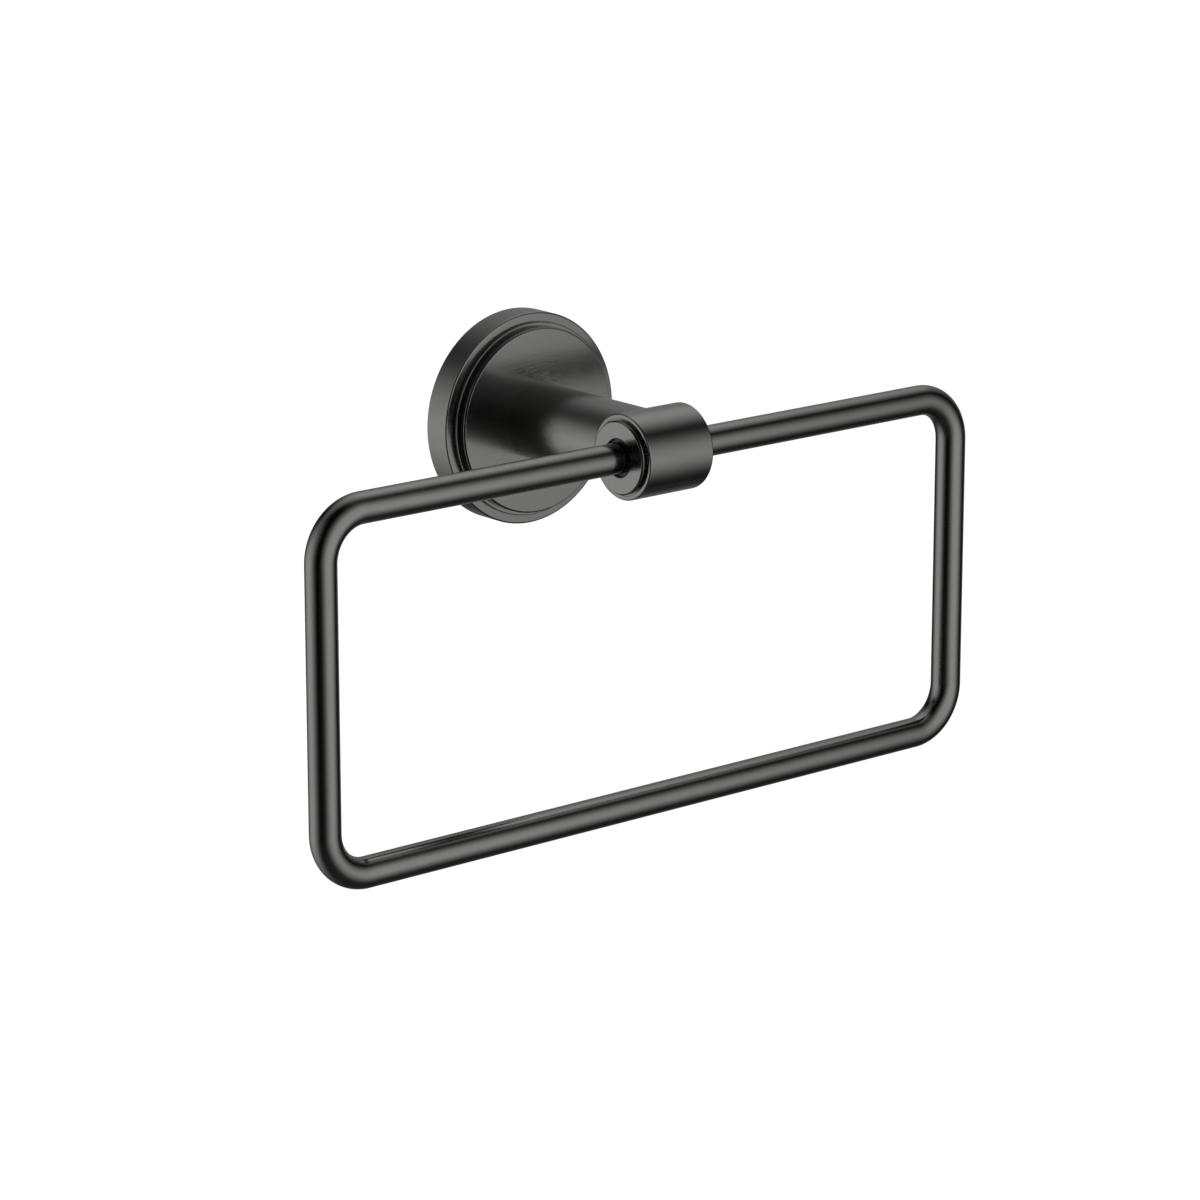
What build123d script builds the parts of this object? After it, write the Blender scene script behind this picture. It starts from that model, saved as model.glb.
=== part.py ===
from build123d import *
import math
import os

os.makedirs("parts", exist_ok=True)

# Wall-mounted towel ring: a turned flange and post carry a cross barrel, and a bent rod ring hangs from it.
# Millimetres. The origin is the centre of the flange's back on the wall. +Z is up, +Y points into the wall.

# Flange, a turned cup that covers the wall bracket
flange_dia = 56.0
flange_depth = 7.85
flange_wall = 2.8
flange_front = 2.0
collar_dia = 50.2
collar_rise = 1.1

# Post with its foot disc
axis_out = 57.1
foot_dia = 49.0
foot_rise = 2.2
foot_edge = 0.5
post_dia = 20.2
spigot_dia = 12.0
spigot_short = 0.3

# Barrel across the post's end
barrel_dia = 22.2
shoulder_span = 21.0
boss_dia = 19.0
boss_rise = 1.35
bore_dia = 10.0
web = 8.0

# Ring, one bent rod whose two ends turn in the barrel
rod_dia = 8.0
ring_width = 209.2
ring_drop = 91.9
bend_radius = 12.2
rod_end_gap = 0.3

# Bushes pressed into the barrel's bores, from the web to just behind the mouth
bush_inset = 1.0
bush_running_gap = 0.05

# Tie screw and washer that clamp flange, post and barrel together
thread_dia = 5.0
thread_reach = 8.0
thread_tip_gap = 1.0
tie_hole_dia = 5.5
tie_head_dia = 9.5
tie_head_height = 3.0
tie_socket_flats = 3.0
tie_socket_depth = 1.8
washer_dia = 16.0
washer_thickness = 1.0

# Locating pin between flange and foot
pin_dia = 3.0
pin_length = 4.0
pin_offset = 13.0
pin_end_gap = 0.1

# Wall bracket with an undercut rim and two slots
bracket_clearance = 1.2
bracket_height = 5.0
bracket_floor = 2.5
bracket_rim = 4.0
bracket_bevel = 30.0
bracket_hole_dia = 15.0
slot_spacing = 29.0
slot_width = 4.6
slot_length = 8.0

# Grub screw through the bottom of the flange
grub_dia = 4.0
grub_height = 3.0
grub_point_dia = 2.0
grub_point_edge = 0.8
grub_sink = 0.4
grub_socket_flats = 2.0
grub_socket_depth = 2.0

# Clearance of a piece that seats in another
seat_gap = 0.02

# Worked out from the sizes above: radii, and depths from the wall
cup_r = flange_dia / 2 - flange_wall
cup_depth = flange_depth - flange_front
collar_depth = flange_depth + collar_rise
face_depth = collar_depth + foot_rise
post_r = post_dia / 2
barrel_r = barrel_dia / 2
bore_r = bore_dia / 2
rod_r = rod_dia / 2
spigot_depth = cup_depth + spigot_short
back_of_barrel = axis_out - barrel_r
bracket_r = cup_r - bracket_clearance
shoulder_x = shoulder_span / 2
boss_x = shoulder_x + boss_rise
web_x = web / 2
pin_foot_depth = collar_depth + pin_length / 2


# A closed outline of (radius, depth from the wall) points, turned about the post's axis
def turned_from_wall(*outline):
    points = [(radius, -depth) for radius, depth in outline]
    return revolve(make_face(Polyline(*points, close=True)), Axis.Y)


# A closed outline of (distance from the middle, radius) points, turned about the barrel's axis
def turned_across(*outline):
    return Pos(0, -axis_out, 0) * revolve(make_face(Polyline(*outline, close=True)), Axis.X)


# A round rod along Y between two depths from the wall, at height z
def rod_from_wall(radius, near, far, z=0.0):
    middle = Pos(0, -(near + far) / 2, z)
    return middle * Rot(90, 0, 0) * Cylinder(radius, far - near)


# A hexagonal rod along Z, its far face at the origin
def hex_socket(flats, depth):
    return extrude(RegularPolygon(flats / 2, 6, major_radius=False), -depth)


def pin_hole(near, far):
    return rod_from_wall(pin_dia / 2 + seat_gap, near, far, z=pin_offset)


# Turned cup: open at the wall, with a collar round its front and a hole for the post's spigot
def make_flange():
    r = flange_dia / 2
    collar_r = collar_dia / 2
    hole_r = spigot_dia / 2 + seat_gap
    cup = turned_from_wall(
        (cup_r, 0),
        (r, 0),
        (r, flange_depth),
        (collar_r, flange_depth),
        (collar_r, collar_depth),
        (hole_r, collar_depth),
        (hole_r, cup_depth),
        (cup_r, cup_depth),
    )
    grub_hole = Pos(0, -grub_height, -r) * Cylinder(grub_dia / 2 + seat_gap, 3 * flange_wall)
    pin_seat = pin_hole(collar_depth - pin_length / 2 - pin_end_gap, collar_depth + pin_end_gap)
    return cup - grub_hole - pin_seat


# Foot disc and round post in one turning, coped at its end to sit on the barrel
def make_post():
    foot_r = foot_dia / 2
    spigot_r = spigot_dia / 2
    hole_r = tie_hole_dia / 2
    post = turned_from_wall(
        (post_r, face_depth),
        (post_r, axis_out),
        (hole_r, axis_out),
        (hole_r, spigot_depth),
        (spigot_r, spigot_depth),
        (spigot_r, collar_depth),
        (foot_r, collar_depth),
        (foot_r, face_depth - foot_edge),
        (foot_r - foot_edge, face_depth),
    )
    saddle = Pos(0, -axis_out, 0) * Rot(0, 90, 0) * Cylinder(barrel_r, shoulder_span)
    pin_seat = pin_hole(collar_depth - pin_end_gap, pin_foot_depth + pin_end_gap)
    return post - saddle - pin_seat


# Half of the barrel: shoulder and boss outside, blind bore inside
def make_half_barrel():
    boss_r = boss_dia / 2
    return turned_across(
        (0, 0),
        (0, barrel_r),
        (shoulder_x, barrel_r),
        (shoulder_x, boss_r),
        (boss_x, boss_r),
        (boss_x, bore_r),
        (web_x, bore_r),
        (web_x, 0),
    )


def make_barrel():
    half = make_half_barrel()
    tapped_end = back_of_barrel + thread_reach + thread_tip_gap
    tapped_hole = rod_from_wall(thread_dia / 2 + seat_gap, back_of_barrel - barrel_r / 2, tapped_end)
    return half + mirror(half, Plane.YZ) - tapped_hole


# Plastic sleeve in one bore, side -1 on the left and 1 on the right
def make_bush(side):
    inner_r = rod_r + bush_running_gap
    outer_r = bore_r - seat_gap
    far = boss_x - bush_inset
    return turned_across(
        (side * web_x, inner_r),
        (side * web_x, outer_r),
        (side * far, outer_r),
        (side * far, inner_r),
    )


# One rod, bent to a rectangle with round corners and left open where it enters the barrel
def make_ring():
    end_x = web_x + rod_end_gap
    half = ring_width / 2
    route = FilletPolyline(
        (-end_x, 0),
        (-half, 0),
        (-half, -ring_drop),
        (half, -ring_drop),
        (half, 0),
        (end_x, 0),
        radius=bend_radius,
    )
    path = Plane.XZ.offset(axis_out) * route
    section = Plane(origin=path @ 0, z_dir=path % 0) * Circle(rod_r)
    return sweep(section, path=path)


# Pan head inside the cup, shank through the hollow post into the barrel
def make_tie_screw():
    head_top = cup_depth - washer_thickness - tie_head_height
    head_under = cup_depth - washer_thickness
    tip = back_of_barrel + thread_reach
    shank_r = thread_dia / 2
    head_r = tie_head_dia / 2
    screw = turned_from_wall(
        (0, head_top),
        (head_r, head_top),
        (head_r, head_under),
        (shank_r, head_under),
        (shank_r, tip),
        (0, tip),
    )
    socket = Pos(0, -head_top, 0) * Rot(-90, 0, 0) * hex_socket(tie_socket_flats, tie_socket_depth)
    return screw - socket


def make_tie_washer():
    hole_r = tie_hole_dia / 2
    return turned_from_wall(
        (hole_r, cup_depth - washer_thickness),
        (washer_dia / 2, cup_depth - washer_thickness),
        (washer_dia / 2, cup_depth),
        (hole_r, cup_depth),
    )


def make_locating_pin():
    half = pin_length / 2
    return rod_from_wall(pin_dia / 2, collar_depth - half, collar_depth + half, z=pin_offset)


# How far the rim is cut back at a given depth from the wall
def bevel_inset(depth):
    return (bracket_height - depth) * math.tan(math.radians(bracket_bevel))


# Dished plate: flat on the wall, thick undercut rim, a centre hole and two slots
def make_wall_bracket():
    well_r = bracket_r - bracket_rim
    hole_r = bracket_hole_dia / 2
    plate = turned_from_wall(
        (hole_r, 0),
        (bracket_r - bevel_inset(0), 0),
        (bracket_r, bracket_height),
        (well_r, bracket_height),
        (well_r, bracket_floor),
        (hole_r, bracket_floor),
    )
    slot = Plane.XZ * SlotOverall(slot_length, slot_width)
    cutter = extrude(slot, bracket_height, both=True)
    for side in (-1, 1):
        plate -= Pos(side * slot_spacing / 2, 0, 0) * cutter
    return plate


# Set screw from below, its flat point on the bracket's undercut rim
def make_grub_screw():
    outer = flange_dia / 2 - grub_sink
    point_front = grub_height + grub_point_dia / 2
    point = bracket_r - bevel_inset(point_front) + seat_gap
    grub_r = grub_dia / 2
    point_r = grub_point_dia / 2
    outline = Polyline(
        (0, -outer),
        (grub_r, -outer),
        (grub_r, -(point + grub_point_edge)),
        (point_r, -point),
        (0, -point),
        close=True,
    )
    screw = revolve(Plane.XZ * make_face(outline), Axis.Z)
    socket = Pos(0, 0, -outer) * Rot(180, 0, 0) * hex_socket(grub_socket_flats, grub_socket_depth)
    return Pos(0, -grub_height, 0) * (screw - socket)


pieces = {
    "wall_bracket": make_wall_bracket(),
    "flange": make_flange(),
    "flange_grub_screw": make_grub_screw(),
    "post": make_post(),
    "locating_pin": make_locating_pin(),
    "tie_washer": make_tie_washer(),
    "tie_screw": make_tie_screw(),
    "barrel": make_barrel(),
    "left_bush": make_bush(-1),
    "right_bush": make_bush(1),
    "ring": make_ring(),
}

for name, piece in pieces.items():
    export_step(piece, f"parts/{name}.step")
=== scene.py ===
import math

import bmesh
import bpy
import numpy as np
from mathutils import Matrix, Vector


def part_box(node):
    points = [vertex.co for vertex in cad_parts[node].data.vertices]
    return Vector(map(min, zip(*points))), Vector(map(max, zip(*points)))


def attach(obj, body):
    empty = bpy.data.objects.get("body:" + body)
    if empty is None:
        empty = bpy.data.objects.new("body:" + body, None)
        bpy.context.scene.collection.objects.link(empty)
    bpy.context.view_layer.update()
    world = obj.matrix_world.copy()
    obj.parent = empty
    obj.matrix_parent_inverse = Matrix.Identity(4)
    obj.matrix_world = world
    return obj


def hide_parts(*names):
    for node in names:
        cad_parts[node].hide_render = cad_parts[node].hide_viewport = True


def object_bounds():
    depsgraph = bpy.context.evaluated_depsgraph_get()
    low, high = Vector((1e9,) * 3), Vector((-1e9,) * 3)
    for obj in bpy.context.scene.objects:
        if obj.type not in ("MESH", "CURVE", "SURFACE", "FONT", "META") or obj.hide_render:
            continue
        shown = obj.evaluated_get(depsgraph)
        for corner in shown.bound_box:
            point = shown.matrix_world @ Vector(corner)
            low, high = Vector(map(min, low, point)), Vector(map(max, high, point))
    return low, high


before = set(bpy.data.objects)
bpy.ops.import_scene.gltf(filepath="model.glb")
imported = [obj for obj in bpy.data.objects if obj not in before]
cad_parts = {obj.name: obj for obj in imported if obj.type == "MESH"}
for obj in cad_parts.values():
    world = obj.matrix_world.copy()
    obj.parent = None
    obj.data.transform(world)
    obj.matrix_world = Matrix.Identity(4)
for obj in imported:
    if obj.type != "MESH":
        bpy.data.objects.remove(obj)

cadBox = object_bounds()
mm = 0.001

camera = {
    "place": (-0.72009, -0.89539, 0.25765),
    "turn": (74.98, 0.0, -39.96),
    "lens": 134.84,
    "sensor": 36.0,
}

studio = {
    "floorHeight": -1.2,
    "floorSize": 40.0,
    "floorTone": 0.8,
    "floorLift": 0.25,  # glow that takes the pale floor to plain white
    "tentRadius": 1.0,
    "tentGlow": 0.003,  # the dark cloth still gives a little light back
}

# Openings in the dark tent: where each one is and its half sizes, all in degrees, how clear it is
# and how fast it fades to its edge. Turn 0 looks straight out from the wall, 90 to the object's right.
tentOpenings = {
    "front": {
        "turn": 13.6, "rise": 0.7, "lean": -48.7, "halfWidth": 75.0, "halfHeight": 65.8,
        "clear": 1.26, "fade": 2.87,
    },
    "leftBack": {
        "turn": -126.9, "rise": -8.9, "lean": 68.4, "halfWidth": 84.6, "halfHeight": 62.6,
        "clear": 1.08, "fade": 2.91,
    },
    "rightTop": {
        "turn": 126.4, "rise": 55.7, "lean": -50.3, "halfWidth": 79.4, "halfHeight": 43.0,
        "clear": 0.43, "fade": 3.28,
    },
    "rightBack": {
        "turn": 123.5, "rise": 5.3, "lean": 14.5, "halfWidth": 63.3, "halfHeight": 105.5,
        "clear": 0.29, "fade": 3.95,
    },
    "below": {
        "turn": -0.8, "rise": -68.6, "lean": 22.5, "halfWidth": 65.8, "halfHeight": 109.9,
        "clear": 0.05, "fade": 0.85,
    },
    "topBack": {
        "turn": 141.6, "rise": 64.6, "lean": 22.8, "halfWidth": 60.3, "halfHeight": 36.5,
        "clear": 0.53, "fade": 1.49,
    },
}

# What several pieces share, in millimetres
axisOut = 57.1  # from the wall to the barrel's axis
barrelRadius = 11.1
easeSteps = 6  # flats in the arc of a broken edge
drillSegments = 96

# In metres: points closer than samePlace become one, and edges shorter than noLength go
samePlace = 1e-7
noLength = 1e-8


# Small helpers for node trees

def addNode(tree, kind, **settings):
    node = tree.nodes.new(kind)
    for key, value in settings.items():
        setattr(node, key, value)
    return node


def mathNode(tree, operation, first, second=None, clamp=False):
    node = addNode(tree, "ShaderNodeMath", operation=operation, use_clamp=clamp)
    for slot, value in zip(node.inputs, (first, second)):
        if isinstance(value, bpy.types.NodeSocket):
            tree.links.new(value, slot)
        elif value is not None:
            slot.default_value = value
    return node.outputs[0]


def vectorNode(tree, operation, first, second=None, scale=None):
    node = addNode(tree, "ShaderNodeVectorMath", operation=operation)
    for slot, value in zip(node.inputs, (first, second)):
        if isinstance(value, bpy.types.NodeSocket):
            tree.links.new(value, slot)
        elif value is not None:
            slot.default_value = value
    if scale is not None:
        node.inputs["Scale"].default_value = scale
    return node.outputs["Value" if operation in ("DOT_PRODUCT", "LENGTH") else "Vector"]


def newGroup(name, inputs, outputs):
    group = bpy.data.node_groups.new(name, "ShaderNodeTree")
    for label, kind, value in inputs:
        socket = group.interface.new_socket(name=label, in_out="INPUT", socket_type=kind)
        if value is not None:
            socket.default_value = value
    for label, kind in outputs:
        group.interface.new_socket(name=label, in_out="OUTPUT", socket_type=kind)
    return group, group.nodes.new("NodeGroupInput"), group.nodes.new("NodeGroupOutput")


def newMaterial(name):
    material = bpy.data.materials.new(name)
    material.use_nodes = True
    material.node_tree.nodes.clear()
    output = material.node_tree.nodes.new("ShaderNodeOutputMaterial")
    return material, material.node_tree, output


# Small helpers for meshes

def addObject(name, mesh):
    piece = bpy.data.objects.new(name, mesh)
    bpy.context.scene.collection.objects.link(piece)
    return piece


def makePlain(piece):
    # what the modifiers make becomes the piece's own mesh
    evaluated = piece.evaluated_get(bpy.context.evaluated_depsgraph_get())
    mesh = bpy.data.meshes.new_from_object(evaluated)
    piece.modifiers.clear()
    piece.data = mesh


# Camera, floor, world and tent

def addCamera():
    data = bpy.data.cameras.new("camera")
    data.lens = camera["lens"]
    data.sensor_width = camera["sensor"]
    data.clip_end = 100.0
    view = addObject("camera", data)
    view.location = camera["place"]
    view.rotation_euler = [math.radians(angle) for angle in camera["turn"]]
    bpy.context.scene.camera = view


def seenRays(tree):
    # 1 for what the camera, a reflection or clear material sees
    rays = addNode(tree, "ShaderNodeLightPath")
    most = mathNode(tree, "MAXIMUM", rays.outputs["Is Camera Ray"], rays.outputs["Is Glossy Ray"])
    return mathNode(tree, "MAXIMUM", most, rays.outputs["Is Transmission Ray"])


def addFloor():
    half = studio["floorSize"] / 2
    height = studio["floorHeight"]
    mesh = bpy.data.meshes.new("floor")
    corners = [(-half, -half, height), (half, -half, height), (half, half, height), (-half, half, height)]
    mesh.from_pydata(corners, [], [(0, 1, 2, 3)])
    floor = addObject("floor", mesh)
    material, tree, output = newMaterial("paleFloor")
    paint = addNode(tree, "ShaderNodeBsdfDiffuse")
    paint.inputs["Color"].default_value = [studio["floorTone"]] * 3 + [1]
    glow = addNode(tree, "ShaderNodeEmission")
    lift = mathNode(tree, "MULTIPLY", seenRays(tree), studio["floorLift"])
    tree.links.new(lift, glow.inputs["Strength"])
    both = addNode(tree, "ShaderNodeAddShader")
    tree.links.new(paint.outputs[0], both.inputs[0])
    tree.links.new(glow.outputs[0], both.inputs[1])
    tree.links.new(both.outputs[0], output.inputs["Surface"])
    mesh.materials.append(material)


def addWorld():
    world = bpy.data.worlds.new("whiteRoom")
    bpy.context.scene.world = world
    world.use_nodes = True
    background = world.node_tree.nodes["Background"]
    background.inputs["Color"].default_value = (1, 1, 1, 1)
    background.inputs["Strength"].default_value = 1.0
    world.cycles.sampling_method = "NONE"


def openingGroup():
    # how clear the tent is in one direction: an oval that fades from its middle to nothing at its edge
    group, given, result = newGroup(
        "softOpening",
        [
            ("Direction", "NodeSocketVector", None),
            ("Middle", "NodeSocketVector", None),
            ("Sideways", "NodeSocketVector", None),
            ("Upwards", "NodeSocketVector", None),
            ("Half Width", "NodeSocketFloat", 0.5),
            ("Half Height", "NodeSocketFloat", 0.5),
            ("Clear", "NodeSocketFloat", 1.0),
            ("Fade", "NodeSocketFloat", 2.0),
        ],
        [("Clearness", "NodeSocketFloat")],
    )
    ahead = vectorNode(group, "DOT_PRODUCT", given.outputs["Direction"], given.outputs["Middle"])
    aside = vectorNode(group, "DOT_PRODUCT", given.outputs["Direction"], given.outputs["Sideways"])
    above = vectorNode(group, "DOT_PRODUCT", given.outputs["Direction"], given.outputs["Upwards"])
    sideAngle = mathNode(group, "ARCTAN2", aside, ahead)
    upAngle = mathNode(group, "ARCSINE", above)
    sideShare = mathNode(group, "DIVIDE", sideAngle, given.outputs["Half Width"])
    upShare = mathNode(group, "DIVIDE", upAngle, given.outputs["Half Height"])
    sideSquare = mathNode(group, "MULTIPLY", sideShare, sideShare)
    upSquare = mathNode(group, "MULTIPLY", upShare, upShare)
    away = mathNode(group, "ADD", sideSquare, upSquare)
    inside = mathNode(group, "SUBTRACT", 1.0, away, clamp=True)
    faded = mathNode(group, "POWER", inside, given.outputs["Fade"])
    clear = mathNode(group, "MULTIPLY", faded, given.outputs["Clear"])
    group.links.new(clear, result.inputs["Clearness"])
    return group


def openingAxes(opening):
    turn = Matrix.Rotation(math.radians(opening["turn"]), 3, "Z")
    rise = Matrix.Rotation(-math.radians(opening["rise"]), 3, "X")
    lean = Matrix.Rotation(-math.radians(opening["lean"]), 3, "Y")
    frameOf = turn @ rise @ lean
    return {
        "Middle": frameOf @ Vector((0, -1, 0)),
        "Sideways": frameOf @ Vector((1, 0, 0)),
        "Upwards": frameOf @ Vector((0, 0, 1)),
    }


def addTent():
    # Dark cloth with soft openings stands round the piece, for reflections alone:
    # the metal mirrors the white room through the openings, and the cloth gives its dark bands.
    middle = (cadBox[0] + cadBox[1]) / 2
    mesh = bpy.data.meshes.new("reflectionTent")
    ball = bmesh.new()
    bmesh.ops.create_icosphere(ball, subdivisions=5, radius=studio["tentRadius"])
    bmesh.ops.translate(ball, verts=ball.verts, vec=middle)
    bmesh.ops.reverse_faces(ball, faces=ball.faces)
    ball.to_mesh(mesh)
    ball.free()
    tent = addObject("reflectionTent", mesh)
    material, tree, output = newMaterial("tentCloth")
    place = addNode(tree, "ShaderNodeTexCoord")
    direction = vectorNode(tree, "NORMALIZE", vectorNode(tree, "SUBTRACT", place.outputs["Object"], middle))
    group = openingGroup()
    clearness = None
    for opening in tentOpenings.values():
        patch = addNode(tree, "ShaderNodeGroup", node_tree=group)
        tree.links.new(direction, patch.inputs["Direction"])
        for label, axis in openingAxes(opening).items():
            patch.inputs[label].default_value = axis
        patch.inputs["Half Width"].default_value = math.radians(opening["halfWidth"])
        patch.inputs["Half Height"].default_value = math.radians(opening["halfHeight"])
        patch.inputs["Clear"].default_value = opening["clear"]
        patch.inputs["Fade"].default_value = opening["fade"]
        found = patch.outputs["Clearness"]
        clearness = found if clearness is None else mathNode(tree, "ADD", clearness, found, clamp=True)
    cloth = addNode(tree, "ShaderNodeEmission")
    cloth.inputs["Strength"].default_value = studio["tentGlow"]
    clear = addNode(tree, "ShaderNodeBsdfTransparent")
    mix = addNode(tree, "ShaderNodeMixShader")
    tree.links.new(clearness, mix.inputs[0])
    tree.links.new(cloth.outputs[0], mix.inputs[1])
    tree.links.new(clear.outputs[0], mix.inputs[2])
    tree.links.new(mix.outputs[0], output.inputs["Surface"])
    mesh.materials.append(material)
    tent.visible_camera = False
    tent.visible_diffuse = False
    tent.visible_shadow = False
    tent.visible_transmission = False


# Finishes

def turnedPlaceGroup():
    # From a place whose Z is the turning axis, in metres, to millimetres across the lines and along them
    group, given, result = newGroup(
        "turnedPlace",
        [("Place", "NodeSocketVector", None)],
        [("Radius", "NodeSocketFloat"), ("Depth", "NodeSocketFloat"), ("Round", "NodeSocketVector")],
    )
    scaled = vectorNode(group, "SCALE", given.outputs["Place"], scale=1 / mm)
    apart = addNode(group, "ShaderNodeSeparateXYZ")
    group.links.new(scaled, apart.inputs[0])
    flat = addNode(group, "ShaderNodeCombineXYZ")
    group.links.new(apart.outputs["X"], flat.inputs["X"])
    group.links.new(apart.outputs["Y"], flat.inputs["Y"])
    group.links.new(vectorNode(group, "LENGTH", flat.outputs[0]), result.inputs["Radius"])
    group.links.new(apart.outputs["Z"], result.inputs["Depth"])
    group.links.new(flat.outputs[0], result.inputs["Round"])
    return group


def brushedLinesGroup():
    # Fine lines that are narrow across and long round the axis, as a turned part is brushed
    group, given, result = newGroup(
        "brushedLines",
        [
            ("Across", "NodeSocketFloat", 0.0),
            ("Round", "NodeSocketVector", None),
            ("Line Width", "NodeSocketFloat", 0.3),
            ("Line Length", "NodeSocketFloat", 4.0),
            ("Curl", "NodeSocketFloat", 0.0),
        ],
        [("Height", "NodeSocketFloat")],
    )
    across = mathNode(group, "DIVIDE", given.outputs["Across"], given.outputs["Line Width"])
    perLength = mathNode(group, "DIVIDE", 1.0, given.outputs["Line Length"])
    along = addNode(group, "ShaderNodeVectorMath", operation="SCALE")
    group.links.new(given.outputs["Round"], along.inputs[0])
    group.links.new(perLength, along.inputs["Scale"])
    apart = addNode(group, "ShaderNodeSeparateXYZ")
    group.links.new(along.outputs["Vector"], apart.inputs[0])
    joined = addNode(group, "ShaderNodeCombineXYZ")
    group.links.new(across, joined.inputs["X"])
    group.links.new(apart.outputs["X"], joined.inputs["Y"])
    group.links.new(apart.outputs["Y"], joined.inputs["Z"])
    noise = addNode(group, "ShaderNodeTexNoise", noise_dimensions="3D")
    noise.inputs["Scale"].default_value = 1.0
    noise.inputs["Detail"].default_value = 2.0
    noise.inputs["Roughness"].default_value = 0.55
    group.links.new(given.outputs["Curl"], noise.inputs["Distortion"])
    group.links.new(joined.outputs[0], noise.inputs["Vector"])
    group.links.new(noise.outputs["Fac"], result.inputs["Height"])
    return group


def satinGrainGroup():
    # The even, very fine grain of a satin coating, for roughness and bump
    group, given, result = newGroup(
        "satinGrain",
        [("Place", "NodeSocketVector", None), ("Grain Size", "NodeSocketFloat", 0.2)],
        [("Height", "NodeSocketFloat"), ("Patches", "NodeSocketFloat")],
    )
    scaled = vectorNode(group, "SCALE", given.outputs["Place"], scale=1 / mm)
    grain = addNode(group, "ShaderNodeTexNoise", noise_dimensions="3D")
    grain.inputs["Detail"].default_value = 1.0
    group.links.new(mathNode(group, "DIVIDE", 1.0, given.outputs["Grain Size"]), grain.inputs["Scale"])
    group.links.new(scaled, grain.inputs["Vector"])
    patches = addNode(group, "ShaderNodeTexNoise", noise_dimensions="3D")
    patches.inputs["Scale"].default_value = 0.07
    patches.inputs["Detail"].default_value = 2.0
    group.links.new(scaled, patches.inputs["Vector"])
    group.links.new(grain.outputs["Fac"], result.inputs["Height"])
    group.links.new(patches.outputs["Fac"], result.inputs["Patches"])
    return group


def cornerShadeGroup():
    # 1 in the corner of a turned step, 0 from Reach away: the mask for painted shade, which darkens the base
    # colour where shade falls in the corner
    group, given, result = newGroup(
        "cornerShade",
        [
            ("Radius", "NodeSocketFloat", 0.0),
            ("Depth", "NodeSocketFloat", 0.0),
            ("Corner Radius", "NodeSocketFloat", 25.0),
            ("Corner Depth", "NodeSocketFloat", 8.0),
            ("Reach", "NodeSocketFloat", 1.0),
        ],
        [("Shade", "NodeSocketFloat")],
    )
    across = mathNode(group, "SUBTRACT", given.outputs["Radius"], given.outputs["Corner Radius"])
    along = mathNode(group, "SUBTRACT", given.outputs["Depth"], given.outputs["Corner Depth"])
    acrossSquare = mathNode(group, "MULTIPLY", across, across)
    alongSquare = mathNode(group, "MULTIPLY", along, along)
    distance = mathNode(group, "SQRT", mathNode(group, "ADD", acrossSquare, alongSquare))
    share = mathNode(group, "DIVIDE", distance, given.outputs["Reach"])
    group.links.new(mathNode(group, "SUBTRACT", 1.0, share, clamp=True), result.inputs["Shade"])
    return group


turnedPlace = turnedPlaceGroup()
brushedLines = brushedLinesGroup()
satinGrain = satinGrainGroup()
cornerShade = cornerShadeGroup()

metalTone = (0.205, 0.204, 0.200)
metalToneSpread = 0.04
patchRange = (0.3, 0.7)  # what the patches' noise runs between
noiseMiddle = 0.5

# Lines are the turned brushing, and marks the coarser, shorter scratches. Their sizes are in millimetres, and
# fades are (start, end, what is left). A corner is painted shade: the base colour in the corner of a turned
# step is darker, shade times as bright.
finishes = {
    "gunmetalRod": {"roughness": 0.17, "spread": 0.02, "grainDepth": 0.0004},
    "gunmetalBarrel": {
        "roughness": 0.18, "spread": 0.03, "grainDepth": 0.0004,
        "lines": {"width": 0.22, "length": 9.0, "curl": 0.0, "depth": 0.006},
        "marks": {"width": 0.35, "length": 0.9, "curl": 1.4, "depth": 0.026, "byRadius": (5.5, 9.2, 0.0)},
    },
    "gunmetalFlange": {
        "roughness": 0.18, "spread": 0.03, "grainDepth": 0.0004,
        "lines": {"width": 0.2, "length": 12.0, "curl": 0.0, "depth": 0.002},
        # painted shade in the corner of the collar step
        "corner": {"radius": 25.5, "depth": 7.85, "reach": 0.4, "shade": 0.7},
    },
    "gunmetalPost": {
        "roughness": 0.18, "spread": 0.03, "grainDepth": 0.0005,
        "lines": {"width": 0.2, "length": 6.0, "curl": 0.0, "depth": 0.004},
        # painted shade in the corner at the foot disc's wall
        "corner": {"radius": 24.5, "depth": 8.95, "reach": 2.0, "shade": 0.2},
        "marks": {
            "width": 0.4, "length": 1.6, "curl": 0.9, "depth": 0.026,
            "byRadius": (10.1, 21.0, 0.08), "byDepth": (16.0, 44.0, 0.2),
        },
    },
}


def mapped(tree, value, low, high, toLow, toHigh):
    node = addNode(tree, "ShaderNodeMapRange")
    tree.links.new(value, node.inputs["Value"])
    for label, number in zip(("From Min", "From Max", "To Min", "To Max"), (low, high, toLow, toHigh)):
        node.inputs[label].default_value = number
    return node.outputs["Result"]


def addBump(tree, height, depth, normal=None):
    # depth in millimetres
    bump = addNode(tree, "ShaderNodeBump")
    bump.inputs["Distance"].default_value = depth * mm
    tree.links.new(height, bump.inputs["Height"])
    if normal is not None:
        tree.links.new(normal, bump.inputs["Normal"])
    return bump.outputs["Normal"]


def addPatchyTone(tree, patches, tone, spread):
    # the tone wanders over the surface, up to the spread darker and lighter
    mix = addNode(tree, "ShaderNodeMix", data_type="RGBA")
    mix.inputs[6].default_value = [value * (1 - spread) for value in tone] + [1]
    mix.inputs[7].default_value = [value * (1 + spread) for value in tone] + [1]
    tree.links.new(patches, mix.inputs[0])
    return mix.outputs[2]


def addPatchyRoughness(tree, patches, middle, spread):
    return mapped(tree, patches, *patchRange, middle - spread, middle + spread)


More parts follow.
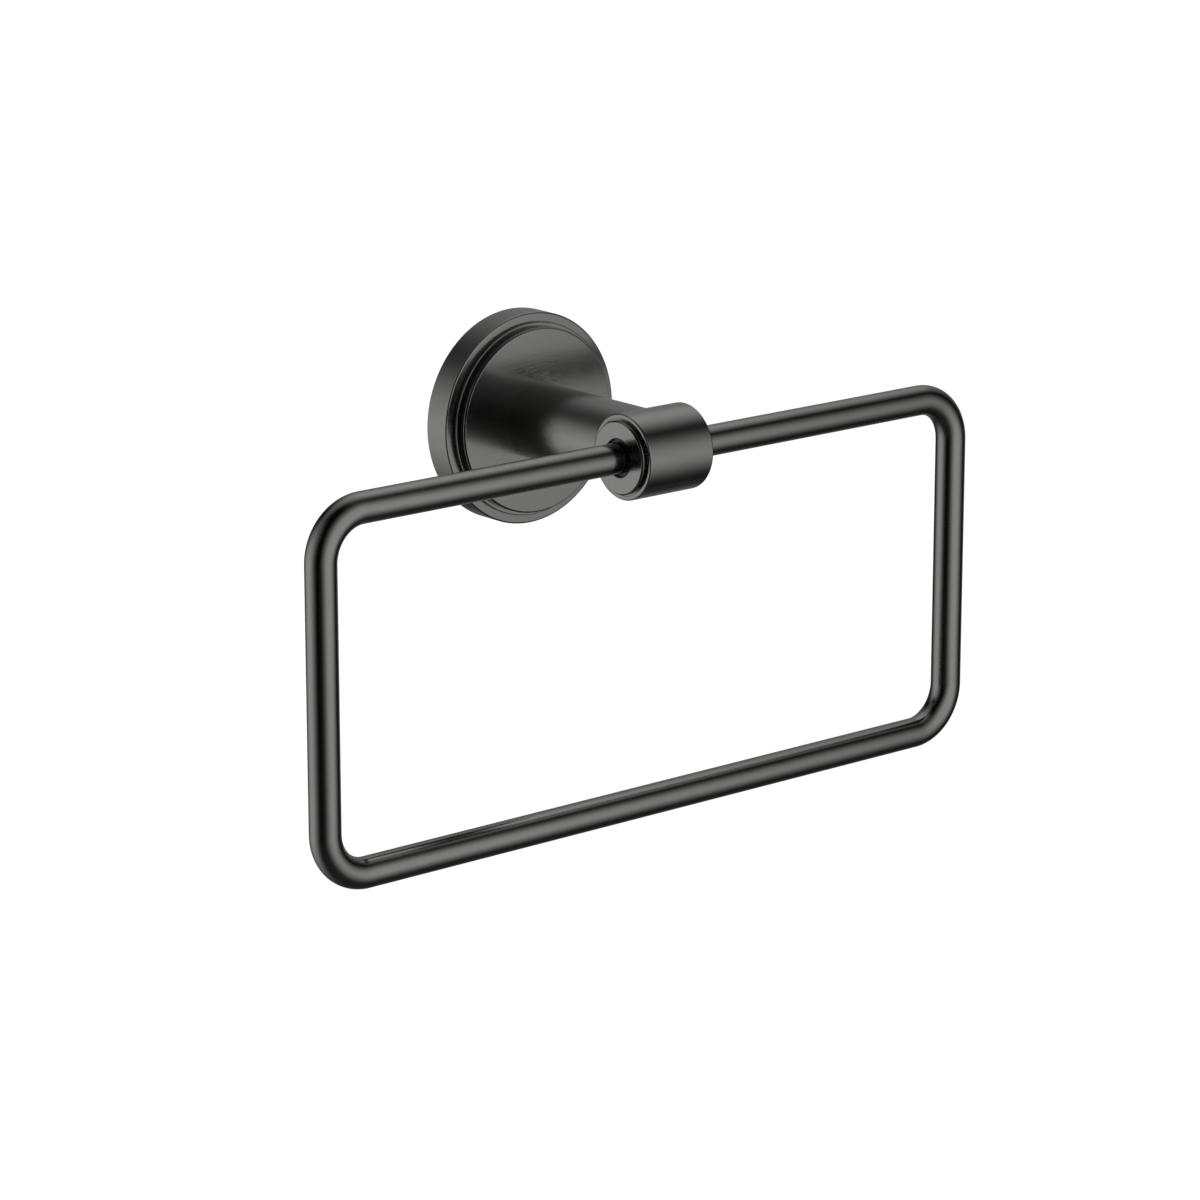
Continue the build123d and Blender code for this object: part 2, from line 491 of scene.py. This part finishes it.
def addLines(tree, polar, settings):
    lines = addNode(tree, "ShaderNodeGroup", node_tree=brushedLines)
    across = mathNode(tree, "SUBTRACT", polar.outputs["Radius"], polar.outputs["Depth"])
    tree.links.new(across, lines.inputs["Across"])
    tree.links.new(polar.outputs["Round"], lines.inputs["Round"])
    lines.inputs["Line Width"].default_value = settings["width"]
    lines.inputs["Line Length"].default_value = settings["length"]
    lines.inputs["Curl"].default_value = settings["curl"]
    return lines.outputs["Height"]


def addMarks(tree, polar, marks):
    # scratches whose depth fades along the turned shape
    height = mathNode(tree, "SUBTRACT", addLines(tree, polar, marks), noiseMiddle)
    for way, label in (("byRadius", "Radius"), ("byDepth", "Depth")):
        if way in marks:
            start, end, least = marks[way]
            fade = mapped(tree, polar.outputs[label], start, end, 1.0, least)
            height = mathNode(tree, "MULTIPLY", height, fade)
    return height


# Painted shade: the base colour is mixed towards a darker metal tone where the corner mask is high
def addPaintedCornerShade(tree, polar, corner, colour):
    shade = addNode(tree, "ShaderNodeGroup", node_tree=cornerShade)
    tree.links.new(polar.outputs["Radius"], shade.inputs["Radius"])
    tree.links.new(polar.outputs["Depth"], shade.inputs["Depth"])
    shade.inputs["Corner Radius"].default_value = corner["radius"]
    shade.inputs["Corner Depth"].default_value = corner["depth"]
    shade.inputs["Reach"].default_value = corner["reach"]
    darker = addNode(tree, "ShaderNodeMix", data_type="RGBA")
    tree.links.new(shade.outputs["Shade"], darker.inputs[0])
    tree.links.new(colour, darker.inputs[6])
    darker.inputs[7].default_value = [value * corner["shade"] for value in metalTone] + [1]
    return darker.outputs[2]


def makeGunmetal(name, turning=None):
    # turning: where the piece's axis is and which way it points, for its brushed lines
    finish = finishes[name]
    material, tree, output = newMaterial(name)
    metal = addNode(tree, "ShaderNodeBsdfPrincipled")
    metal.inputs["Metallic"].default_value = 1.0
    place = addNode(tree, "ShaderNodeTexCoord").outputs["Object"]
    grain = addNode(tree, "ShaderNodeGroup", node_tree=satinGrain)
    tree.links.new(place, grain.inputs["Place"])
    colour = addPatchyTone(tree, grain.outputs["Patches"], metalTone, metalToneSpread)
    roughness = addPatchyRoughness(tree, grain.outputs["Patches"], finish["roughness"], finish["spread"])
    tree.links.new(roughness, metal.inputs["Roughness"])
    normal = addBump(tree, grain.outputs["Height"], finish["grainDepth"])
    if turning:
        moved = addNode(tree, "ShaderNodeMapping", vector_type="TEXTURE")
        moved.inputs["Location"].default_value = turning["place"]
        moved.inputs["Rotation"].default_value = turning["turn"]
        tree.links.new(place, moved.inputs["Vector"])
        polar = addNode(tree, "ShaderNodeGroup", node_tree=turnedPlace)
        tree.links.new(moved.outputs[0], polar.inputs["Place"])
        lines = finish["lines"]
        normal = addBump(tree, addLines(tree, polar, lines), lines["depth"], normal)
        if "marks" in finish:
            marks = finish["marks"]
            normal = addBump(tree, addMarks(tree, polar, marks), marks["depth"], normal)
        # painted shade in the corners of turned steps
        if "corner" in finish:
            colour = addPaintedCornerShade(tree, polar, finish["corner"], colour)
    tree.links.new(colour, metal.inputs["Base Color"])
    tree.links.new(normal, metal.inputs["Normal"])
    tree.links.new(metal.outputs[0], output.inputs["Surface"])
    return material


postAxis = {"place": (0, 0, 0), "turn": (math.radians(90), 0, 0)}
barrelAxis = {"place": (0, -axisOut * mm, 0), "turn": (0, math.radians(90), 0)}


# Turned pieces

def easedOutline(corners):
    # corners are (radius, depth) or (radius, depth, ease); an eased corner becomes a small arc
    points = []
    for number, corner in enumerate(corners):
        here = np.array(corner[:2], float)
        ease = corner[2] if len(corner) > 2 else 0.0
        if ease == 0.0:
            points.append(tuple(here))
            continue
        before = np.array(corners[number - 1][:2], float) - here
        after = np.array(corners[(number + 1) % len(corners)][:2], float) - here
        before /= np.hypot(*before)
        after /= np.hypot(*after)
        half = math.acos(float(np.clip(before @ after, -1, 1))) / 2
        start = here + before * ease / math.tan(half)
        end = here + after * ease / math.tan(half)
        middle = here + (before + after) / np.hypot(*(before + after)) * ease / math.sin(half)
        startAngle = math.atan2(*(start - middle)[::-1])
        sweep = (math.atan2(*(end - middle)[::-1]) - startAngle + math.pi) % (2 * math.pi) - math.pi
        for step in range(easeSteps + 1):
            angle = startAngle + sweep * step / easeSteps
            points.append((middle[0] + ease * math.cos(angle), middle[1] + ease * math.sin(angle)))
    return points


def roundTheWallAxis(radius, depth, angle):
    return (radius * math.cos(angle) * mm, -depth * mm, radius * math.sin(angle) * mm)


def roundTheBarrelAxis(radius, across, angle):
    return (across * mm, (radius * math.cos(angle) - axisOut) * mm, radius * math.sin(angle) * mm)


def turnRow(placeOf, radius, depth, segments):
    # one ring of points; depth is a number, or a function of the angle where the ring isn't flat
    angles = [2 * math.pi * step / segments for step in range(segments)]
    return [placeOf(radius, depth(angle) if callable(depth) else depth, angle) for angle in angles]


def skinRows(name, rows, closed):
    # rows of points become one closed skin, whose normals then point outwards
    count = len(rows[0])
    points = [point for row in rows for point in row]
    faces = []
    for number in range(len(rows) if closed else len(rows) - 1):
        here, there = number * count, (number + 1) % len(rows) * count
        for step in range(count):
            after = (step + 1) % count
            faces.append((here + step, here + after, there + after, there + step))
    mesh = bpy.data.meshes.new(name)
    mesh.from_pydata(points, [], faces)
    shell = bmesh.new()
    shell.from_mesh(mesh)
    bmesh.ops.remove_doubles(shell, verts=shell.verts, dist=samePlace)
    bmesh.ops.dissolve_degenerate(shell, edges=shell.edges, dist=noLength)
    bmesh.ops.recalc_face_normals(shell, faces=shell.faces)
    shell.to_mesh(mesh)
    shell.free()
    mesh.shade_smooth()
    return addObject(name, mesh)


def drill(piece, radius, start, end):
    # a round hole between two points, in millimetres
    start, end = Vector(start) * mm, Vector(end) * mm
    way = end - start
    turn = way.to_track_quat("Z", "Y").to_matrix().to_4x4()
    place = Matrix.Translation((start + end) / 2) @ turn
    sizes = {"radius1": radius * mm, "radius2": radius * mm, "depth": way.length}
    mesh = bpy.data.meshes.new("drill")
    bit = bmesh.new()
    bmesh.ops.create_cone(bit, cap_ends=True, segments=drillSegments, **sizes)
    bmesh.ops.transform(bit, matrix=place, verts=bit.verts)
    bit.to_mesh(mesh)
    bit.free()
    tool = addObject("drill", mesh)
    cut = piece.modifiers.new("hole", "BOOLEAN")
    cut.operation = "DIFFERENCE"
    cut.solver = "EXACT"
    cut.object = tool
    makePlain(piece)
    bpy.data.objects.remove(tool)


def settleNormals(piece, sharpAngle):
    # flat faces keep their flat look beside the small arcs of their edges
    piece.data.shade_smooth()
    piece.data.set_sharp_from_angle(angle=math.radians(sharpAngle))
    even = piece.modifiers.new("evenNormals", "WEIGHTED_NORMAL")
    even.mode = "FACE_AREA_WITH_ANGLE"
    even.weight = 50
    even.keep_sharp = True
    makePlain(piece)


def finishPiece(piece, node, body, material):
    piece.data.materials.clear()
    piece.data.materials.append(material)
    piece.data.polygons.foreach_set("material_index", [0] * len(piece.data.polygons))
    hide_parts(node)
    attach(piece, body)
    print(f"{piece.name}: {len(piece.data.polygons)} faces")


flange = {
    "segments": 240,
    "sharpAngle": 35,
    "outline": [  # (radius, depth from the wall, ease), round the section
        (25.2, 0.0),
        (28.0, 0.0, 0.15),
        (28.0, 7.85, 0.55),
        (25.5, 7.85),
        (25.5, 8.95, 0.25),
        (6.0, 8.95),
        (6.0, 5.85),
        (25.2, 5.85, 0.2),
    ],
    "grubHole": {"radius": 2.02, "depth": 3.0, "from": -29.0, "to": -24.0},
}


def makeFlange():
    outline = easedOutline(flange["outline"])
    rows = [turnRow(roundTheWallAxis, radius, depth, flange["segments"]) for radius, depth in outline]
    piece = skinRows("flangeCup", rows, True)
    hole = flange["grubHole"]
    drill(piece, hole["radius"], (0, -hole["depth"], hole["from"]), (0, -hole["depth"], hole["to"]))
    settleNormals(piece, flange["sharpAngle"])
    finishPiece(piece, "flange", "wall_holder", makeGunmetal("gunmetalFlange", postAxis))


post = {
    "segments": 240,
    "sharpAngle": 35,
    "radius": 10.1,
    "outline": [  # from the hole at the wall end, round the foot disc, to the foot of the round post
        (2.75, 6.15),
        (6.0, 6.15),
        (6.0, 8.95),
        (24.5, 8.95),
        (24.5, 10.75, 0.25),
        (24.1, 11.15, 0.25),
        (10.1, 11.15),
    ],
    "rowShares": (0.25, 0.5, 0.75, 0.92),  # rows between the foot and the coped end
    "copeBreak": 0.1,
    "copeRadii": (9.0, 7.5, 6.0, 4.5, 2.75),  # rows on the coped end, down to the hole
}


def copeDepth(radius, back=0.0):
    # depth of the barrel's surface at an angle round the post
    def depth(angle):
        return axisOut - math.sqrt(barrelRadius ** 2 - (radius * math.sin(angle)) ** 2) - back
    return depth


def depthOnTheWay(radius, start, share):
    # depth a share of the way from a flat start to the barrel's surface
    end = copeDepth(radius)

    def depth(angle):
        return start + (end(angle) - start) * share
    return depth


def makePost():
    count = post["segments"]
    outline = easedOutline(post["outline"])
    footDepth = outline[-1][1]
    radius = post["radius"]
    small = post["copeBreak"]
    rows = [turnRow(roundTheWallAxis, distance, depth, count) for distance, depth in outline]
    for share in post["rowShares"]:
        rows.append(turnRow(roundTheWallAxis, radius, depthOnTheWay(radius, footDepth, share), count))
    rows.append(turnRow(roundTheWallAxis, radius, copeDepth(radius, small), count))
    rows.append(turnRow(roundTheWallAxis, radius - small, copeDepth(radius - small), count))
    for inner in post["copeRadii"]:
        rows.append(turnRow(roundTheWallAxis, inner, copeDepth(inner), count))
    piece = skinRows("copedPost", rows, True)
    settleNormals(piece, post["sharpAngle"])
    finishPiece(piece, "post", "wall_holder", makeGunmetal("gunmetalPost", postAxis))


barrel = {
    "segments": 240,
    "sharpAngle": 35,
    "half": [  # (radius, distance from the middle, ease), from the middle of the bore's bottom outwards
        (0.0, 4.0),
        (5.0, 4.0, 0.3),
        (5.0, 11.85, 0.2),
        (9.1, 11.85, 0.22),
        (9.5, 11.4, 0.22),
        (9.5, 10.25),
        (9.85, 10.25),
        (9.85, 10.5, 0.1),
        (11.1, 10.5, 0.5),
        (11.1, 0.0),
    ],
    "tapping": {"radius": 2.52, "from": -40.0, "to": -55.0},
}


def makeBarrel():
    right = easedOutline(barrel["half"])[:-1]
    left = [(radius, -across) for radius, across in reversed(right)]
    count = barrel["segments"]
    rows = [turnRow(roundTheBarrelAxis, radius, across, count) for radius, across in right + left]
    piece = skinRows("crossBarrel", rows, False)
    hole = barrel["tapping"]
    drill(piece, hole["radius"], (0, hole["from"], 0), (0, hole["to"], 0))
    settleNormals(piece, barrel["sharpAngle"])
    finishPiece(piece, "barrel", "wall_holder", makeGunmetal("gunmetalBarrel", barrelAxis))


# The bent ring

ring = {
    "rodRadius": 4.0,
    "bendRadius": 12.2,
    "endBreak": 0.5,  # chamfer on the rod's ends
    "endInset": 4.3,  # from the middle of the barrel to each end
    "roundSteps": 72,
    "bendSteps": 28,
    "runStep": 3.0,  # the straight runs are divided into parts no longer than this
    "sharpAngle": 30,
}


def cutsPerRun(tree, step):
    # how many cuts each straight part of a path needs so that no part is longer than step
    here = addNode(tree, "GeometryNodeInputPosition").outputs["Position"]
    follow = mathNode(tree, "ADD", addNode(tree, "GeometryNodeInputIndex").outputs["Index"], 1.0)
    nextPlace = addNode(tree, "GeometryNodeFieldAtIndex", data_type="FLOAT_VECTOR", domain="POINT")
    tree.links.new(follow, nextPlace.inputs["Index"])
    tree.links.new(here, nextPlace.inputs["Value"])
    run = addNode(tree, "ShaderNodeVectorMath", operation="DISTANCE")
    tree.links.new(here, run.inputs[0])
    tree.links.new(nextPlace.outputs["Value"], run.inputs[1])
    return mathNode(tree, "FLOOR", mathNode(tree, "DIVIDE", run.outputs["Value"], step))


def rodTree(material):
    # path of straight runs -> rounded path -> rod
    tree = bpy.data.node_groups.new("bentRod", "GeometryNodeTree")
    tree.interface.new_socket(name="Geometry", in_out="INPUT", socket_type="NodeSocketGeometry")
    for label, kind in (
        ("Rod Radius", "NodeSocketFloat"),
        ("Bend Radius", "NodeSocketFloat"),
        ("End Share", "NodeSocketFloat"),
        ("Round Steps", "NodeSocketInt"),
        ("Bend Steps", "NodeSocketInt"),
        ("Run Step", "NodeSocketFloat"),
        ("Finish", "NodeSocketMaterial"),
    ):
        tree.interface.new_socket(name=label, in_out="INPUT", socket_type=kind)
    tree.interface.new_socket(name="Geometry", in_out="OUTPUT", socket_type="NodeSocketGeometry")
    given, result = tree.nodes.new("NodeGroupInput"), tree.nodes.new("NodeGroupOutput")

    path = addNode(tree, "GeometryNodeMeshToCurve")
    tree.links.new(given.outputs["Geometry"], path.inputs["Mesh"])
    fillet = addNode(tree, "GeometryNodeFilletCurve", mode="POLY")
    tree.links.new(path.outputs["Curve"], fillet.inputs["Curve"])
    tree.links.new(given.outputs["Bend Radius"], fillet.inputs["Radius"])
    tree.links.new(given.outputs["Bend Steps"], fillet.inputs["Count"])
    divided = addNode(tree, "GeometryNodeSubdivideCurve")
    tree.links.new(fillet.outputs["Curve"], divided.inputs["Curve"])
    tree.links.new(cutsPerRun(tree, given.outputs["Run Step"]), divided.inputs["Cuts"])
    ends = addNode(tree, "GeometryNodeCurveEndpointSelection")
    narrow = addNode(tree, "GeometryNodeSetCurveRadius")
    tree.links.new(divided.outputs["Curve"], narrow.inputs["Curve"])
    tree.links.new(ends.outputs["Selection"], narrow.inputs["Selection"])
    tree.links.new(given.outputs["End Share"], narrow.inputs["Radius"])
    section = addNode(tree, "GeometryNodeCurvePrimitiveCircle")
    tree.links.new(given.outputs["Round Steps"], section.inputs["Resolution"])
    tree.links.new(given.outputs["Rod Radius"], section.inputs["Radius"])
    rod = addNode(tree, "GeometryNodeCurveToMesh")
    rod.inputs["Fill Caps"].default_value = True
    tree.links.new(narrow.outputs["Curve"], rod.inputs["Curve"])
    tree.links.new(section.outputs["Curve"], rod.inputs["Profile Curve"])
    real = addNode(tree, "GeometryNodeRealizeInstances")
    tree.links.new(rod.outputs["Mesh"], real.inputs["Geometry"])
    coat = addNode(tree, "GeometryNodeSetMaterial")
    tree.links.new(real.outputs["Geometry"], coat.inputs["Geometry"])
    tree.links.new(given.outputs["Finish"], coat.inputs["Material"])
    tree.links.new(coat.outputs["Geometry"], result.inputs["Geometry"])
    return tree


def setTreeInput(modifier, label, value):
    for socket in modifier.node_group.interface.items_tree:
        if socket.name == label and socket.in_out == "INPUT":
            modifier[socket.identifier] = value


def makeRing():
    low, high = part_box("ring")
    radius = ring["rodRadius"] * mm
    left, right, bottom = low.x + radius, high.x - radius, low.z + radius
    level = (low.y + high.y) / 2
    end = ring["endInset"] * mm
    step = ring["endBreak"] * mm
    route = [
        (-end, 0),
        (-end - step, 0),
        (left, 0),
        (left, bottom),
        (right, bottom),
        (right, 0),
        (end + step, 0),
        (end, 0),
    ]
    points = [(x, level, z) for x, z in route]
    edges = [(number, number + 1) for number in range(len(route) - 1)]
    mesh = bpy.data.meshes.new("bentRing")
    mesh.from_pydata(points, edges, [])
    piece = addObject("bentRing", mesh)
    material = makeGunmetal("gunmetalRod")
    maker = piece.modifiers.new("bentRod", "NODES")
    maker.node_group = rodTree(material)
    setTreeInput(maker, "Rod Radius", radius)
    setTreeInput(maker, "Bend Radius", ring["bendRadius"] * mm)
    setTreeInput(maker, "End Share", 1 - ring["endBreak"] / ring["rodRadius"])
    setTreeInput(maker, "Round Steps", ring["roundSteps"])
    setTreeInput(maker, "Bend Steps", ring["bendSteps"])
    setTreeInput(maker, "Run Step", ring["runStep"] * mm)
    setTreeInput(maker, "Finish", material)
    makePlain(piece)
    settleNormals(piece, ring["sharpAngle"])
    finishPiece(piece, "ring", "swinging_ring", material)


# Hidden hardware keeps its own meshes and gets its finishes here

hardwareToneSpread = 0.1
hardwareSpread = 0.06
hardwareGrainDepth = 0.004
hardware = {
    "zincSteel": {
        "tone": (0.56, 0.56, 0.55), "metallic": 1.0, "roughness": 0.38, "grain": 0.35,
        "nodes": ("wall_bracket", "tie_washer"),
    },
    "stainlessSteel": {
        "tone": (0.62, 0.61, 0.59), "metallic": 1.0, "roughness": 0.28, "grain": 0.25,
        "nodes": ("tie_screw", "flange_grub_screw", "locating_pin"),
    },
    "blackNylon": {
        "tone": (0.018, 0.018, 0.018), "metallic": 0.0, "roughness": 0.45, "grain": 0.3,
        "nodes": ("left_bush", "right_bush"),
    },
}


def makeHardwareFinish(name, finish):
    material, tree, output = newMaterial(name)
    surface = addNode(tree, "ShaderNodeBsdfPrincipled")
    surface.inputs["Metallic"].default_value = finish["metallic"]
    grain = addNode(tree, "ShaderNodeGroup", node_tree=satinGrain)
    grain.inputs["Grain Size"].default_value = finish["grain"]
    tree.links.new(addNode(tree, "ShaderNodeTexCoord").outputs["Object"], grain.inputs["Place"])
    colour = addPatchyTone(tree, grain.outputs["Patches"], finish["tone"], hardwareToneSpread)
    tree.links.new(colour, surface.inputs["Base Color"])
    roughness = addPatchyRoughness(tree, grain.outputs["Patches"], finish["roughness"], hardwareSpread)
    tree.links.new(roughness, surface.inputs["Roughness"])
    tree.links.new(addBump(tree, grain.outputs["Height"], hardwareGrainDepth), surface.inputs["Normal"])
    tree.links.new(surface.outputs[0], output.inputs["Surface"])
    return material


def dressHardware():
    for name, finish in hardware.items():
        material = makeHardwareFinish(name, finish)
        for node in finish["nodes"]:
            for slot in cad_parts[node].material_slots:
                slot.material = material


addCamera()
addFloor()
addWorld()
addTent()
print("studio ready")
makeFlange()
makePost()
makeBarrel()
makeRing()
dressHardware()
print("hardware dressed")

bpy.context.scene.view_settings.view_transform = "Standard"
